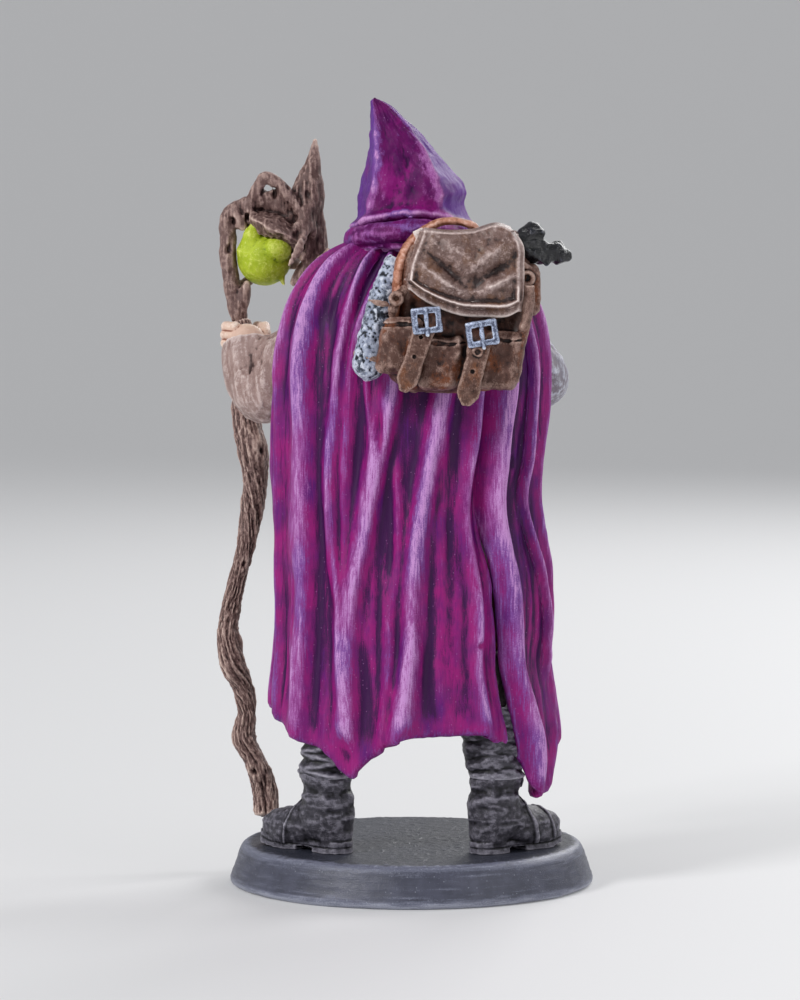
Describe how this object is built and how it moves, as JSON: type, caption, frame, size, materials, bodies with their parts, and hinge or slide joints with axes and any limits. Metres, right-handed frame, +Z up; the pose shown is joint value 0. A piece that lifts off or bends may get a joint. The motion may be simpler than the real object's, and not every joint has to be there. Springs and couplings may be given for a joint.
{
  "type": "painted miniature figure",
  "caption": "Painted tabletop miniature of a hooded traveller in a long cloak, with a buckled pack, a bedroll and a gnarled root staff holding an orb, on a round base.",
  "frame": {"origin": "centre of the round base's underside", "axes": "+Z up, the figure faces -Y, and its left side, with the staff, is +X"},
  "size_m": [0.0261, 0.025, 0.0538],
  "materials": {
    "base_black": "blue-black primer, dry-brushed rim, dusty top",
    "boot_grey": "dark grey acrylic, light grey dry brush on the creases",
    "gaiter_grey": "dark grey acrylic with a black wash",
    "trouser_brown": "near-black brown acrylic",
    "robe_brown": "brown acrylic, wash in the folds, light dry brush",
    "belt_leather": "dark leather brown acrylic",
    "pouch_leather": "leather brown acrylic with a dark wash",
    "painted_silver": "blue-silver metallic acrylic on cast resin",
    "painted_gold": "old gold metallic acrylic on cast resin",
    "cloak_purple": "magenta-purple acrylic, violet wash, lavender ridges",
    "hood_purple": "magenta-purple acrylic, violet wash, lavender edge",
    "cowl_purple": "deep magenta acrylic with a lighter upper edge",
    "face_skin": "skin-tone acrylic with a brown wash",
    "left_sleeve_tan": "tan acrylic, brown wash between the wrinkles",
    "right_sleeve_grey": "pale grey-tan acrylic, brown wash",
    "hand_skin": "pale skin-tone acrylic with a thin brown wash",
    "root_brown": "grey-brown acrylic, dark wash, pale dry brush",
    "crown_brown": "grey-brown acrylic, dark wash, pale dry brush",
    "orb_green": "lime green acrylic under satin varnish",
    "pack_brown": "leather brown acrylic, orange-brown glaze low down",
    "flap_taupe": "taupe acrylic, dark creases, pale edges",
    "pocket_brown": "red-brown acrylic with a dark wash",
    "strap_brown": "strap brown acrylic, pale edges",
    "band_orange": "orange-tan acrylic with a dark wash",
    "shoulder_strap_brown": "dark leather brown acrylic",
    "roll_grey": "pale blue-grey acrylic, black wash in the cracks",
    "tie_brown": "dark brown acrylic",
    "hide_black": "black acrylic, satin, pale grey edge line"
  },
  "bodies": {
    "root": {"base_disc": "base_black", "left_boot": "boot_grey", "right_boot": "boot_grey", "left_gaiter": "gaiter_grey", "right_gaiter": "gaiter_grey", "left_leg": "trouser_brown", "right_leg": "trouser_brown", "robe": "robe_brown", "belt": "belt_leather", "belt_buckle": "painted_silver", "belt_pouch": "pouch_leather", "cloak": "cloak_purple", "cloak_clasp": "painted_gold", "hood": "hood_purple", "hood_cowl": "cowl_purple", "head": "face_skin", "left_sleeve": "left_sleeve_tan", "left_hand": "hand_skin", "right_sleeve": "right_sleeve_grey", "right_hand": "hand_skin", "staff_shaft": "root_brown", "staff_crown": "crown_brown", "orb": "orb_green", "pack_body": "pack_brown", "pack_flap": "flap_taupe", "pack_side_pocket": "pocket_brown", "left_flap_strap": "strap_brown", "right_flap_strap": "strap_brown", "left_buckle": "painted_silver", "right_buckle": "painted_silver", "pack_top_band": "band_orange", "left_shoulder_strap": "shoulder_strap_brown", "right_shoulder_strap": "shoulder_strap_brown", "bedroll": "roll_grey", "bedroll_ties": "tie_brown", "tie_ring": "tie_brown", "hide_bundle": "hide_black"}
  },
  "joints": []
}
